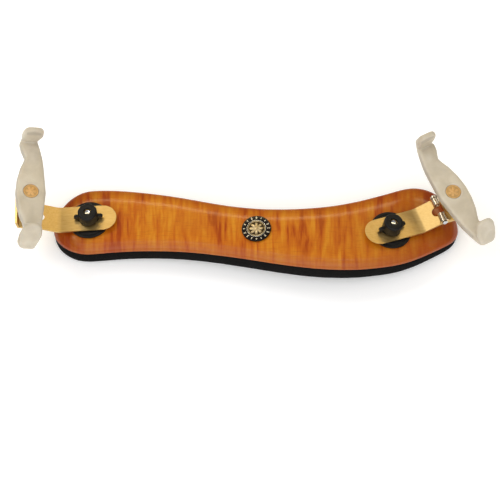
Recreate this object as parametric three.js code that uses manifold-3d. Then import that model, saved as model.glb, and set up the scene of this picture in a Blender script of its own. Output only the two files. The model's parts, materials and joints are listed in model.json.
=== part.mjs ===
// Violin shoulder rest. An arched, kidney-shaped wooden bridge with a foam pad under it carries
// a metal arm at each end. Each arm swivels and slides under a thumb nut, and a folding leaf at
// its outer end holds the screw of a rubber fork that grips the edge of the violin.
//
// Millimetres. +X runs along the rest towards its wide end, +Z points up to the violin, and +Y is
// the side that both ends of the bridge sweep towards. The origin is at the middle of the
// bounding box, on the surface that the pad stands on.

import * as THREE from 'three';
import { mergeVertices } from 'three/addons/utils/BufferGeometryUtils.js';
import Module from 'manifold-3d';

const wasm = await Module();
wasm.setup();

// ---------------------------------------------------------------- driving dimensions

const GAP = 0.3; // clearance between pieces that touch
const ROUND = 28; // sides of a small round piece

const BRIDGE = {
  halfLength: 115,
  thickness: 5.5,
  narrowEnd: 21, // length over which the narrow end rounds off
  wideEnd: 33,
  endFullness: 1.85, // exponent of the superellipse that rounds both ends
  stations: 48,
};

// Height of the bridge's top, along X
const ARCH = spline([
  [-115, -12], [-95, -9.7], [-60, -6.4], [-20, -2.7], [25, 0], [55, -2.1], [80, -5.8], [100, -10.3],
  [115, -14.5],
]);

// Middle line of the bridge seen from above, along X
const MIDDLE = spline([
  [-115, 15.8], [-97, 18.1], [-72, 17.7], [-45, 14.3], [-15, 8], [10, 3.6], [33, 2.2], [55, 4.7],
  [75, 10.4], [92, 17], [104, 19.2], [115, 17],
]);

// Half the width of the bridge before its ends are rounded, along X
const HALF_WIDTH = spline([
  [-115, 20.4], [-90, 20.5], [-60, 18.6], [-25, 16.5], [0, 16.7], [40, 20.2], [66, 22.9], [86, 24.3],
  [115, 24.3],
]);

// Thickness of the foam pad, along X
const PAD_THICKNESS = spline([
  [-115, 8], [-95, 9.5], [-60, 9.5], [20, 11], [75, 9.6], [100, 7.6], [115, 5.6],
]);

const BADGE = { x: 0.3, y: 6.3, radius: 8.35, ring: 2.9, height: 1 };

const STUD = { radius: 1.7, headRadius: 5, headHeight: 1.4, top: 9.6 };
const DISC = { radius: 11.8, height: 1.1, keyWidth: 5.4, keyLength: 6.6, keyHeight: 1.1 };
const REACH = 2.4; // the arm slides this far each way along its slot
const WASHER = { radius: 4.5, height: 0.7 };
const KNOB = {
  radius: 5.55,
  height: 7.3,
  earReach: 8.2, // half the length over both ears
  earRadius: 1.4,
  earHeight: 1.7,
  earThickness: 1.9,
};

const ARM = {
  width: 16,
  thickness: 1.3,
  innerEnd: 15.8, // from the stud to the rounded end
  rise: 27, // degrees
  bendRadius: 9,
  hingeX: 28.5,
  hingeZ: 10,
};
const BARREL = { radius: 2.3, bore: 1.2, gap: 5.8, outerEnd: 6.9 };
const PIN = { radius: 0.9, headRadius: 1.6, headHeight: 0.6 };

const LEAF = { thickness: 1.2, innerEdge: 3, length: 7.9, earThickness: 1.2, lip: 5.4, lipAngle: 68 };
const SCREW = { radius: 1.75, length: 26, fromHinge: 6.5 };
const BUSH = { radius: 2.6, flangeRadius: 3.2, flangeHeight: 1.1 };

const FORK = {
  thickness: 6,
  straight: 31.8, // half length of the straight bar
  hookRadius: 3,
  hookAngle: 104,
  hookLength: 15.5, // beyond the bend
  tipRadius: 4,
  plateLength: 44,
  plateWidth: 8.4,
  plateThickness: 1.6,
  bossRadius: 3.4,
  bossHeight: 2.2,
  capRadius: 4.1,
  capHeight: 1.2,
};

// How each side stands: where its stud is, which way its arm points, how far its leaf leans
// inwards, how high its fork stands above the hinge and how far the fork is turned.
const SIDES = {
  left: { x: -94.7, y: 17.1, arm: 180, lean: 14, forkHeight: 19.3, forkTurn: 0 },
  right: { x: 76.2, y: 7.7, arm: 22.5, lean: 4.5, forkHeight: 11.4, forkTurn: 8 },
};

const COLOURS = {
  lacqueredMaple: { color: 0xc97a2a, roughness: 0.25, metalness: 0 },
  blackFoam: { color: 0x17171a, roughness: 0.95, metalness: 0 },
  blackPlastic: { color: 0x2a2a28, roughness: 0.5, metalness: 0 },
  goldPlate: { color: 0xcaa65a, roughness: 0.3, metalness: 1 },
  brass: { color: 0xb5893c, roughness: 0.35, metalness: 1 },
  steel: { color: 0xb9bcc0, roughness: 0.3, metalness: 1 },
  creamRubber: { color: 0xc6b99f, roughness: 0.6, metalness: 0 },
};

// ---------------------------------------------------------------- helpers

function radians(degrees) {
  return THREE.MathUtils.degToRad(degrees);
}

// A smooth function of x through a few [x, value] points that are in order of x
function spline(points) {
  return (x) => {
    const last = points.length - 1;
    const clamped = Math.min(Math.max(x, points[0][0]), points[last][0]);
    const i = Math.min(points.findIndex(([px]) => px >= clamped) || 1, last);
    const slope = (k) => {
      const a = points[Math.max(k - 1, 0)];
      const b = points[Math.min(k + 1, last)];
      return (b[1] - a[1]) / (b[0] - a[0]);
    };
    const [x0, y0] = points[i - 1];
    const [x1, y1] = points[i];
    const span = x1 - x0;
    const t = (clamped - x0) / span;
    const t2 = t * t;
    const t3 = t2 * t;
    return (2 * t3 - 3 * t2 + 1) * y0 + (t3 - 2 * t2 + t) * span * slope(i - 1)
      + (3 * t2 - 2 * t3) * y1 + (t3 - t2) * span * slope(i);
  };
}

// A closed BufferGeometry from points and triangles, welded, with its faces pointing out
function closedGeometry(points, triangles) {
  const loose = new THREE.BufferGeometry();
  loose.setAttribute('position', new THREE.Float32BufferAttribute(points, 3));
  loose.setIndex(triangles);
  return welded(loose);
}

function welded(geometry) {
  const bare = geometry.clone();
  bare.deleteAttribute('normal');
  bare.deleteAttribute('uv');
  const merged = mergeVertices(bare, 1e-4);
  const position = merged.attributes.position;
  const corner = (i) => new THREE.Vector3().fromBufferAttribute(position, i);
  const kept = [];
  let volume = 0;
  for (let i = 0; i < merged.index.count; i += 3) {
    const [a, b, c] = [0, 1, 2].map((k) => merged.index.getX(i + k));
    if (a === b || b === c || c === a) continue;
    kept.push(a, b, c);
    volume += corner(a).dot(corner(b).cross(corner(c)));
  }
  if (volume < 0) kept.reverse();
  merged.setIndex(kept);
  return merged;
}

function solid(shape) {
  if (shape instanceof wasm.Manifold) return shape;
  const mesh = welded(shape);
  return new wasm.Manifold(new wasm.Mesh({
    numProp: 3,
    vertProperties: Float32Array.from(mesh.attributes.position.array),
    triVerts: Uint32Array.from(mesh.index.array),
  }));
}

function cut(shape, ...tools) {
  return tools.reduce((rest, tool) => rest.subtract(solid(tool)), solid(shape));
}

function join(shape, ...others) {
  return others.reduce((whole, other) => whole.add(solid(other)), solid(shape));
}

function geometryOf(shape) {
  if (!(shape instanceof wasm.Manifold)) return shape;
  const { vertProperties, triVerts } = shape.getMesh();
  return closedGeometry(vertProperties, Array.from(triVerts));
}

// One named sub-part with a material of its own
function piece(name, shape, colour) {
  const geometry = geometryOf(shape);
  geometry.computeVertexNormals();
  const mesh = new THREE.Mesh(geometry, new THREE.MeshStandardMaterial(COLOURS[colour]));
  mesh.name = name;
  return mesh;
}

// An upright cylinder from one height to another, on the Z axis unless it is given a place
function rod(radius, bottom, top, x = 0, y = 0, sides = ROUND) {
  const geometry = new THREE.CylinderGeometry(radius, radius, top - bottom, sides);
  return geometry.rotateX(Math.PI / 2).translate(x, y, (bottom + top) / 2);
}

// A cylinder along Y
function crossRod(radius, near, far, x, z, sides = ROUND) {
  const geometry = new THREE.CylinderGeometry(radius, radius, far - near, sides);
  return geometry.translate(x, (near + far) / 2, z);
}

// A profile of [radius, height] points turned about the Z axis
function turned(profile, sides = ROUND) {
  const points = profile.map(([radius, height]) => new THREE.Vector2(radius, height));
  return new THREE.LatheGeometry(points, sides).rotateX(Math.PI / 2);
}

// A plan outline raised from one height to another
function raised(shape, bottom, top, curveSegments = 8) {
  const options = { depth: top - bottom, bevelEnabled: false, curveSegments };
  return new THREE.ExtrudeGeometry(shape, options).translate(0, 0, bottom);
}

// An outline in the XZ plane, as wide as given and centred across Y
function crossways(shape, width, curveSegments = 10) {
  const options = { depth: width, bevelEnabled: false, curveSegments };
  return new THREE.ExtrudeGeometry(shape, options).translate(0, 0, -width / 2).rotateX(Math.PI / 2);
}

// A slot outline with round ends, along X
function slotShape(length, width) {
  const radius = width / 2;
  const reach = length / 2 - radius;
  const shape = new THREE.Shape();
  shape.absarc(reach, 0, radius, -Math.PI / 2, Math.PI / 2, false);
  shape.absarc(-reach, 0, radius, Math.PI / 2, Math.PI * 1.5, false);
  return shape;
}

// A skin over rings of points, all with as many points, closed at both ends by endFaces, which
// lists the triangles of a face that fills one ring
function skin(rings, endFaces) {
  const count = rings[0].length;
  const points = rings.flat().flatMap((point) => [point.x, point.y, point.z]);
  const triangles = [];
  for (let ring = 0; ring + 1 < rings.length; ring += 1) {
    for (let i = 0; i < count; i += 1) {
      const next = (i + 1) % count;
      const a = ring * count + i;
      const b = ring * count + next;
      triangles.push(a, b, a + count, b, b + count, a + count);
    }
  }
  const lastRing = (rings.length - 1) * count;
  for (const [a, b, c] of endFaces) {
    triangles.push(a, c, b, lastRing + a, lastRing + b, lastRing + c);
  }
  return closedGeometry(points, triangles);
}

// ---------------------------------------------------------------- bridge and pad

// One ring of the bridge's outline, set in from its edge and at a height under the arch's top.
// It runs along the near edge from the narrow end to the wide end, and back along the far edge.
function outlineRing(inset, depthAt) {
  const near = [];
  const far = [];
  for (let k = 0; k <= BRIDGE.stations; k += 1) {
    const x = -(BRIDGE.halfLength - inset) * Math.cos((Math.PI * k) / BRIDGE.stations);
    const endLength = x < 0 ? BRIDGE.narrowEnd : BRIDGE.wideEnd;
    const intoEnd = Math.abs(x) - (BRIDGE.halfLength - endLength);
    const share = Math.min(Math.max(intoEnd / (endLength - inset), 0), 1);
    const rounding = (1 - share ** BRIDGE.endFullness) ** (1 / BRIDGE.endFullness);
    const halfWidth = (HALF_WIDTH(x) - inset) * rounding;
    const z = ARCH(x) - depthAt(x);
    near.push(new THREE.Vector3(x, MIDDLE(x) - halfWidth, z));
    far.push(new THREE.Vector3(x, MIDDLE(x) + halfWidth, z));
  }
  return [...near, ...far.slice(1, -1).reverse()];
}

// Triangles that span an outline ring from its near edge to its far edge
function spanFaces() {
  const count = 2 * BRIDGE.stations;
  const faces = [];
  for (let k = 0; k < BRIDGE.stations; k += 1) {
    const farA = (count - k) % count;
    const farB = count - k - 1;
    faces.push([k, k + 1, farB]);
    if (k > 0) faces.push([k, farB, farA]);
  }
  return faces;
}

function woodBridge() {
  const edge = [[7, 0], [4.2, 0.45], [2, 1.15], [0.6, 2], [0, 3], [0, 4.6], [0.9, BRIDGE.thickness]];
  const rings = edge.map(([inset, depth]) => outlineRing(inset, () => depth));
  const board = skin(rings, spanFaces());
  const holes = Object.values(SIDES).map((side) => {
    const through = rod(STUD.radius + 0.4, -20, 20);
    const pocket = rod(STUD.headRadius + 0.4, -20, -BRIDGE.thickness + STUD.headHeight + 0.5);
    return join(through, pocket).transform(studFrame(side).matrix.toArray());
  });
  return cut(board, ...holes);
}

function foamPad() {
  const top = BRIDGE.thickness + GAP;
  const levels = [[1.2, 0], [0.5, 0.12], [0.2, 0.5], [0.5, 0.84], [2.2, 1]];
  const rings = levels.map(([inset, share]) => outlineRing(inset, (x) => top + share * PAD_THICKNESS(x)));
  return skin(rings, spanFaces());
}

function badgeRim() {
  const inner = BADGE.radius - BADGE.ring;
  const low = GAP;
  const high = GAP + BADGE.height;
  return turned([
    [inner, low], [BADGE.radius, low], [BADGE.radius, high - 0.4], [BADGE.radius - 0.5, high],
    [inner, high], [inner, low],
  ], 36);
}

function badgeCentre() {
  const radius = BADGE.radius - BADGE.ring - GAP;
  return turned([
    [0, GAP], [radius, GAP], [radius, GAP + 0.9], [radius * 0.6, GAP + 1.2], [0, GAP + 1.3],
  ], 36);
}

// ---------------------------------------------------------------- clamp at each end

// Heights above the wood, measured along the stud
const DISC_BOTTOM = GAP;
const DISC_TOP = DISC_BOTTOM + DISC.height;
const ARM_BOTTOM = DISC_TOP + GAP;
const ARM_TOP = ARM_BOTTOM + ARM.thickness;
const KNOB_BOTTOM = ARM_TOP + GAP;
const KNOB_TOP = KNOB_BOTTOM + KNOB.height;
const WASHER_TOP = KNOB_BOTTOM + WASHER.height;

function baseDisc() {
  const plate = turned([
    [0, DISC_BOTTOM], [DISC.radius, DISC_BOTTOM], [DISC.radius, DISC_TOP - 0.6],
    [DISC.radius - 0.7, DISC_TOP], [0, DISC_TOP],
  ], 40);
  const key = raised(slotShape(DISC.keyLength, DISC.keyWidth), DISC_TOP - 0.5, DISC_TOP + DISC.keyHeight);
  return cut(join(plate, key), rod(STUD.radius + 0.4, -1, 20));
}

function stud() {
  const headBottom = -BRIDGE.thickness + 0.1;
  const headTop = headBottom + STUD.headHeight;
  return turned([
    [0, headBottom], [STUD.headRadius, headBottom], [STUD.headRadius, headTop], [STUD.radius, headTop],
    [STUD.radius, STUD.top - 0.5], [STUD.radius - 0.5, STUD.top], [0, STUD.top],
  ]);
}

function washer() {
  const ring = rod(WASHER.radius, KNOB_BOTTOM, WASHER_TOP);
  return cut(ring, rod(STUD.radius + 0.4, 0, 20));
}

const INSERT_RADIUS = 3.1;
const INSERT_BOTTOM = WASHER_TOP + GAP;
const INSERT_TOP = KNOB_TOP - 1.5;

function knobInsert() {
  return cut(rod(INSERT_RADIUS, INSERT_BOTTOM, INSERT_TOP), rod(STUD.radius + GAP, 0, 20));
}

function knob() {
  const body = turned([
    [0, KNOB_BOTTOM], [KNOB.radius - 0.5, KNOB_BOTTOM], [KNOB.radius, KNOB_BOTTOM + 0.5],
    [KNOB.radius, KNOB_TOP - 0.9], [KNOB.radius - 0.3, KNOB_TOP - 0.3], [KNOB.radius - 1, KNOB_TOP],
    [0, KNOB_TOP],
  ]);
  const ear = slotShape(2 * KNOB.earReach, 2 * KNOB.earRadius);
  const ears = crossways(ear, KNOB.earThickness, 6).translate(0, 0, KNOB_BOTTOM + KNOB.earHeight);
  const washerSpace = rod(WASHER.radius + GAP, 0, WASHER_TOP + GAP);
  const bore = rod(INSERT_RADIUS + GAP, 0, INSERT_TOP + GAP);
  return cut(join(body, ears), washerSpace, bore, rod(STUD.radius + GAP, 0, 20));
}

// ---------------------------------------------------------------- arm, leaf and pins

// The arm's sheet seen from its side: flat on the disc, then rising to the bottom of the barrel
function armProfile() {
  const angle = radians(ARM.rise);
  const along = new THREE.Vector2(Math.cos(angle), Math.sin(angle));
  const across = new THREE.Vector2(-along.y, along.x);
  const middleZ = (ARM_BOTTOM + ARM_TOP) / 2;
  const offset = BARREL.radius - ARM.thickness / 2;
  const end = new THREE.Vector2(ARM.hingeX, ARM.hingeZ).addScaledVector(across, -offset);
  const bendX = end.x - (end.y - middleZ) / Math.tan(angle);
  const startX = bendX - ARM.bendRadius * Math.tan(angle / 2);
  const centreZ = middleZ + ARM.bendRadius;
  const half = ARM.thickness / 2;
  const shape = new THREE.Shape();
  shape.moveTo(-ARM.innerEnd, ARM_BOTTOM);
  shape.absarc(startX, centreZ, ARM.bendRadius + half, -Math.PI / 2, angle - Math.PI / 2, false);
  shape.lineTo(end.x - across.x * half, end.y - across.y * half);
  shape.lineTo(end.x + across.x * half, end.y + across.y * half);
  shape.absarc(startX, centreZ, ARM.bendRadius - half, angle - Math.PI / 2, -Math.PI / 2, true);
  shape.lineTo(-ARM.innerEnd, ARM_TOP);
  return shape;
}

// The leaf's ears stand beyond the ends of the arm's barrels, within the arm's width
const EAR_RADIUS = BARREL.radius + 0.3;
const EAR_INNER = BARREL.outerEnd + GAP;
const EAR_OUTER = EAR_INNER + LEAF.earThickness;

function armStrap() {
  const sheet = crossways(armProfile(), ARM.width, 5);
  const half = ARM.width / 2;
  const outline = new THREE.Shape();
  outline.moveTo(ARM.hingeX + 10, half + 1);
  outline.lineTo(0, half + 1);
  outline.lineTo(half - ARM.innerEnd, half);
  outline.absarc(half - ARM.innerEnd, 0, half, Math.PI / 2, Math.PI * 1.5, false);
  outline.lineTo(0, -half - 1);
  outline.lineTo(ARM.hingeX + 10, -half - 1);
  const rounded = solid(sheet).intersect(solid(raised(outline, -5, 40, 10)));
  const barrel = crossRod(BARREL.radius, -BARREL.outerEnd, BARREL.outerEnd, ARM.hingeX, ARM.hingeZ);
  const bore = crossRod(BARREL.bore, -half - 1, half + 1, ARM.hingeX, ARM.hingeZ, 16);
  const slot = raised(slotShape(DISC.keyLength + 2 * (REACH + GAP), DISC.keyWidth + 2 * GAP), -5, 20);
  const notch = raised(slotShape(2 * (BARREL.radius + 4), BARREL.gap), -5, 40, 5);
  const earSpaces = [-1, 1].map((side) => {
    const [near, far] = [side * BARREL.outerEnd, side * (half + 1)].sort((a, b) => a - b);
    return crossRod(EAR_RADIUS + GAP, near, far, ARM.hingeX, ARM.hingeZ);
  });
  const strap = join(cut(rounded, ...earSpaces), barrel);
  return cut(strap, bore, slot, notch.translate(ARM.hingeX + 2.5, 0, 0));
}

const LEAF_BOTTOM = -BARREL.radius;
const LEAF_TOP = LEAF_BOTTOM + LEAF.thickness;

// The leaf stands on the hinge axis: X runs outwards and Z along the fork's screw
function forkLeaf() {
  const outerEdge = LEAF.innerEdge + LEAF.length;
  const lip = radians(LEAF.lipAngle);
  const lipX = outerEdge - LEAF.thickness * Math.sin(lip) + LEAF.lip * Math.cos(lip);
  const lipZ = LEAF_BOTTOM + LEAF.thickness * Math.cos(lip) + LEAF.lip * Math.sin(lip);
  const profile = new THREE.Shape();
  profile.moveTo(LEAF.innerEdge, LEAF_BOTTOM);
  profile.lineTo(outerEdge, LEAF_BOTTOM);
  profile.lineTo(lipX + LEAF.thickness * Math.sin(lip), lipZ - LEAF.thickness * Math.cos(lip));
  profile.lineTo(lipX, lipZ);
  profile.lineTo(outerEdge - LEAF.thickness * Math.tan(lip / 2), LEAF_TOP);
  profile.lineTo(LEAF.innerEdge, LEAF_TOP);
  const plate = crossways(profile, 2 * EAR_OUTER);
  const ear = new THREE.Shape();
  ear.moveTo(LEAF.innerEdge + 4, LEAF_BOTTOM);
  ear.lineTo(LEAF.innerEdge + 4, LEAF_TOP);
  ear.absarc(0, 0, EAR_RADIUS, 0.3, Math.PI * 1.4, false);
  const ears = [-1, 1].map((side) => crossways(ear, LEAF.earThickness, 8)
    .translate(0, (side * (EAR_INNER + EAR_OUTER)) / 2, 0));
  const bore = crossRod(BARREL.bore, -EAR_OUTER - 1, EAR_OUTER + 1, 0, 0, 16);
  const bushHole = rod(BUSH.radius + GAP, -20, 20, SCREW.fromHinge);
  return cut(join(plate, ...ears), bore, bushHole);
}

function hingePin(side) {
  const inner = BARREL.gap / 2 + GAP;
  const headStart = EAR_OUTER + GAP;
  const shaft = crossRod(PIN.radius, inner, headStart + 0.2, 0, 0, 16);
  const head = crossRod(PIN.headRadius, headStart, headStart + PIN.headHeight, 0, 0, 20);
  const pin = join(shaft, head);
  return side > 0 ? pin : pin.transform(new THREE.Matrix4().makeRotationZ(Math.PI).toArray());
}

const BUSH_TOP = LEAF_TOP + GAP + BUSH.flangeHeight;

// The bush and the screw stand on the screw's axis
function threadedBush() {
  const collarTop = LEAF_BOTTOM - GAP;
  const flange = rod(BUSH.flangeRadius, LEAF_TOP + GAP, BUSH_TOP);
  const barrel = rod(BUSH.radius, collarTop - 0.5, BUSH_TOP - 0.5);
  const collar = rod(BUSH.flangeRadius, collarTop - BUSH.flangeHeight, collarTop);
  return cut(join(flange, barrel, collar), rod(SCREW.radius + GAP, -20, 20));
}

// ---------------------------------------------------------------- fork

// The fork stands on its screw's axis with the underside of its bar at Z 0: X runs outwards,
// and the bar lies along Y.
const PLATE_TOP = FORK.plateThickness;
const CAP_FLOOR = FORK.thickness - FORK.capHeight;
const SCREW_TOP = CAP_FLOOR - GAP - 0.4;

function forkScrew() {
  const bottom = SCREW_TOP - SCREW.length;
  return turned([
    [0, bottom], [SCREW.radius - 0.5, bottom], [SCREW.radius, bottom + 0.5], [SCREW.radius, SCREW_TOP],
    [0, SCREW_TOP],
  ]);
}

function forkPlate() {
  const plan = slotShape(FORK.plateLength, FORK.plateWidth);
  const plate = raised(plan, 0, PLATE_TOP).rotateZ(Math.PI / 2);
  const boss = rod(FORK.bossRadius, -FORK.bossHeight, 1);
  return cut(join(plate, boss), rod(SCREW.radius + GAP, -20, 20));
}

// Half of the fork from the middle of its bar to the tip of its hook: for a distance along it,
// how far its outer and its inner edge are from the middle plane, and how thick it is
const OUTER_EDGE = spline([
  [0, 8.6], [8, 7.9], [15, 6.3], [22.3, 3.7], [26, 5.2], [31.5, 6.9], [35.5, 5.7], [39, 6.2], [45, 6],
  [53, 4.6],
]);
const INNER_EDGE = spline([
  [0, 8.6], [8, 7.9], [20.8, 6.6], [26, 5.4], [31, 4.3], [35.5, 3.3], [40, 4.8], [44, 5.8], [53, 5.2],
]);
const HALF_THICKNESS = spline([[0, 3], [26, 3], [33, 2.8], [40, 2.5], [53, 1.9]]);

// A point of the middle of the fork's thickness, and the direction square to it
function forkPath(distance) {
  const fullBend = radians(FORK.hookAngle);
  const bend = Math.min(Math.max((distance - FORK.straight) / FORK.hookRadius, 0), fullBend);
  const beyond = Math.max(distance - FORK.straight - FORK.hookRadius * fullBend, 0);
  const onBar = Math.min(distance, FORK.straight);
  return {
    y: onBar + FORK.hookRadius * Math.sin(bend) + beyond * Math.cos(bend),
    z: FORK.thickness / 2 + FORK.hookRadius * (1 - Math.cos(bend)) + beyond * Math.sin(bend),
    bend,
  };
}

// A rounded section of the fork; roundOff shrinks it where the tip closes
function forkSection(distance, side, roundOff = 0) {
  const { y, z, bend } = forkPath(distance);
  const outer = OUTER_EDGE(distance) - roundOff;
  const inner = INNER_EDGE(distance) - roundOff;
  const half = HALF_THICKNESS(distance) - roundOff * 0.3;
  const corner = Math.min(distance < FORK.straight - 2 ? 1.5 : 2, half * 0.8);
  const section = [];
  const corners = [[outer, half, 0], [-inner, half, 1], [-inner, -half, 2], [outer, -half, 3]];
  for (const [edge, height, quarter] of corners) {
    const cx = edge - Math.sign(edge) * corner;
    const cz = height - Math.sign(height) * corner;
    for (const step of [0, 1, 2]) {
      const angle = (Math.PI / 2) * (quarter + step / 2);
      const x = cx + corner * Math.cos(angle);
      const up = cz + corner * Math.sin(angle);
      section.push(new THREE.Vector3(x, side * (y - up * Math.sin(bend)), z + up * Math.cos(bend)));
    }
  }
  return section;
}

// How much narrower each side of the fork is at a distance from its round tip
function tipRoundOff(toTip) {
  return FORK.tipRadius - Math.sqrt(FORK.tipRadius ** 2 - (FORK.tipRadius - toTip) ** 2);
}

function forkGrip() {
  const bend = FORK.hookRadius * radians(FORK.hookAngle);
  const total = FORK.straight + bend + FORK.hookLength;
  const bendSteps = [0, 0.2, 0.4, 0.6, 0.8, 1].map((share) => FORK.straight + share * bend);
  const distances = [0, 8, 15, 19, 22.3, 24.5, 28, ...bendSteps, 40, 44];
  const tipSteps = [FORK.tipRadius, 2.4, 1.2, 0.5, 0];
  const half = (side) => [
    ...distances.map((distance) => forkSection(distance, side)),
    ...tipSteps.map((toTip) => forkSection(total - toTip, side, tipRoundOff(toTip))),
  ];
  const rings = [...half(-1).reverse(), ...half(1).slice(1)];
  const count = rings[0].length;
  const fan = [];
  for (let i = 1; i + 1 < count; i += 1) fan.push([0, i, i + 1]);
  const bar = skin(rings, fan);
  const plateSlot = slotShape(FORK.plateLength + 2 * GAP, FORK.plateWidth + 2 * GAP);
  const plateSpace = raised(plateSlot, -1, PLATE_TOP + GAP);
  const screwHole = rod(SCREW.radius + GAP, -1, 20);
  const capRecess = rod(FORK.capRadius + GAP, CAP_FLOOR - GAP, 20);
  return cut(bar, plateSpace.rotateZ(Math.PI / 2), screwHole, capRecess);
}

function forkCap() {
  const top = CAP_FLOOR + FORK.capHeight;
  return turned([
    [0, CAP_FLOOR], [FORK.capRadius, CAP_FLOOR], [FORK.capRadius, top - 0.3], [FORK.capRadius - 0.4, top],
    [0, top],
  ]);
}

// ---------------------------------------------------------------- assembly

// A frame on the bridge's surface with its Z square to the wood
function surfaceFrame(x, y) {
  const frame = new THREE.Group();
  frame.position.set(x, y, ARCH(x));
  frame.rotation.y = -Math.atan2(ARCH(x + 1) - ARCH(x - 1), 2);
  frame.updateMatrix();
  return frame;
}

function studFrame(side) {
  return surfaceFrame(side.x, side.y);
}

function child(parent, x = 0, z = 0, rotation = {}) {
  const frame = new THREE.Group();
  frame.position.set(x, 0, z);
  frame.rotation.set(0, rotation.y ?? 0, rotation.z ?? 0);
  parent.add(frame);
  return frame;
}

const rest = new THREE.Group();
rest.add(piece('wood_bridge', woodBridge(), 'lacqueredMaple'));
rest.add(piece('foam_pad', foamPad(), 'blackFoam'));

const badgeFrame = surfaceFrame(BADGE.x, BADGE.y);
badgeFrame.add(piece('badge_rim', badgeRim(), 'blackPlastic'));
badgeFrame.add(piece('badge_centre', badgeCentre(), 'goldPlate'));
rest.add(badgeFrame);

// The frames that the joints and the mounts lie on
export const frames = {};

for (const [name, side] of Object.entries(SIDES)) {
  const onStud = studFrame(side);
  rest.add(onStud);
  onStud.add(piece(`${name}_stud`, stud(), 'steel'));

  const onArm = child(onStud, 0, 0, { z: radians(side.arm) });
  onArm.add(piece(`${name}_base_disc`, baseDisc(), 'blackPlastic'));
  onArm.add(piece(`${name}_arm`, armStrap(), 'goldPlate'));
  onArm.add(piece(`${name}_washer`, washer(), 'blackPlastic'));
  onArm.add(piece(`${name}_knob`, knob(), 'blackPlastic'));
  onArm.add(piece(`${name}_knob_insert`, knobInsert(), 'brass'));

  const onHinge = child(onArm, ARM.hingeX, ARM.hingeZ, { y: -radians(side.lean) });
  onHinge.add(piece(`${name}_fork_leaf`, forkLeaf(), 'goldPlate'));
  onHinge.add(piece(`${name}_hinge_pin_a`, hingePin(1), 'steel'));
  onHinge.add(piece(`${name}_hinge_pin_b`, hingePin(-1), 'steel'));

  const onScrew = child(onHinge, SCREW.fromHinge);
  onScrew.add(piece(`${name}_leaf_bush`, threadedBush(), 'brass'));

  const onFork = child(onScrew, 0, side.forkHeight, { z: radians(side.forkTurn) });
  onFork.add(piece(`${name}_fork_screw`, forkScrew(), 'steel'));
  onFork.add(piece(`${name}_fork_plate`, forkPlate(), 'steel'));
  onFork.add(piece(`${name}_fork_grip`, forkGrip(), 'creamRubber'));
  onFork.add(piece(`${name}_fork_cap`, forkCap(), 'goldPlate'));

  const onSeat = child(onFork, 0, FORK.thickness);
  Object.assign(frames, {
    [`${name}_stud`]: onStud,
    [`${name}_arm`]: onArm,
    [`${name}_hinge`]: onHinge,
    [`${name}_screw`]: onScrew,
    [`${name}_fork`]: onFork,
    [`${name}_seat`]: onSeat,
  });
}

// Put the origin at the middle of the bounding box, on its lowest point
rest.updateMatrixWorld(true);
const bounds = new THREE.Box3().setFromObject(rest, true);
const centre = bounds.getCenter(new THREE.Vector3());
rest.position.set(-centre.x, -centre.y, -bounds.min.z);
rest.updateMatrixWorld(true);

export default rest;
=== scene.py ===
"""Looks of a violin shoulder rest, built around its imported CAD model.

Lengths are in metres, and MM turns millimetres into them. Each small piece is made about a local
frame that comes from the record's joints, and takes its size from the CAD node it stands for.
"""

import json
import math

import bmesh
import bpy
import numpy as np
from mathutils import Matrix, Vector, noise

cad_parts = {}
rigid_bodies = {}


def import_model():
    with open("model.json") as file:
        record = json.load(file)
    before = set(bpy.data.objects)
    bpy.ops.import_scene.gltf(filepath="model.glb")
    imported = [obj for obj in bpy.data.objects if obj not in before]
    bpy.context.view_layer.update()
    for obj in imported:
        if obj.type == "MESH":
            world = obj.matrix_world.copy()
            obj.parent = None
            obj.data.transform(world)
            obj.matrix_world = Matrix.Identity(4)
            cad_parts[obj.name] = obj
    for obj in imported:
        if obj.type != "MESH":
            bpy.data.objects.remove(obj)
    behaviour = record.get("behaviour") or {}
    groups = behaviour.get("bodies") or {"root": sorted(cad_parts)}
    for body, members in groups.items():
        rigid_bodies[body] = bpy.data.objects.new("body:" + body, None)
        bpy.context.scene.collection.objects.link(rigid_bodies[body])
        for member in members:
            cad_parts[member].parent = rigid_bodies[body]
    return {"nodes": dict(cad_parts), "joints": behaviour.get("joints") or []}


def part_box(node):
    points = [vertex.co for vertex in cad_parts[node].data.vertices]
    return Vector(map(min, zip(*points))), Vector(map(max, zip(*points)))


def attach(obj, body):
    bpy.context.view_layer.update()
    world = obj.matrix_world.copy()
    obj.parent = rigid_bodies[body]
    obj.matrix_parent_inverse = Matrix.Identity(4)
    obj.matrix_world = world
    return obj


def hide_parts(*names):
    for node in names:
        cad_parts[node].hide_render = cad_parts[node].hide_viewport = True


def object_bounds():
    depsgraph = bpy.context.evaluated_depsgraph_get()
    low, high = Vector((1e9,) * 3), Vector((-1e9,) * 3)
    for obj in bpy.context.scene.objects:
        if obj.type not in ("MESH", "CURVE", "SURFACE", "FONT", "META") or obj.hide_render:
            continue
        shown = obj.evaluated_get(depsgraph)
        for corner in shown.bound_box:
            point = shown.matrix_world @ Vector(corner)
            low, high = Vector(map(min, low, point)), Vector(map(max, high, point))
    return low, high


MM = 0.001

for leftover in list(bpy.data.objects):
    bpy.data.objects.remove(leftover)

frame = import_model()
cad_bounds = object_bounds()
joints = {joint["name"]: joint for joint in frame["joints"]}


# ------------------------------------------------------------------ local frames

def axes_frame(origin, x_axis, z_axis):
    """A frame at origin with its Z along z_axis and its X as near to x_axis as that allows."""
    z = Vector(z_axis).normalized()
    y = z.cross(Vector(x_axis)).normalized()
    x = y.cross(z)
    rotation = Matrix((x, y, z)).transposed().to_4x4()
    return Matrix.Translation(Vector(origin)) @ rotation


def points_of(node):
    """The corners of a CAD node as an array, in the row frame."""
    mesh = frame["nodes"][node].data
    flat = np.zeros(len(mesh.vertices) * 3, np.float32)
    mesh.vertices.foreach_get("co", flat)
    return flat.reshape(-1, 3).astype(float)


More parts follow.
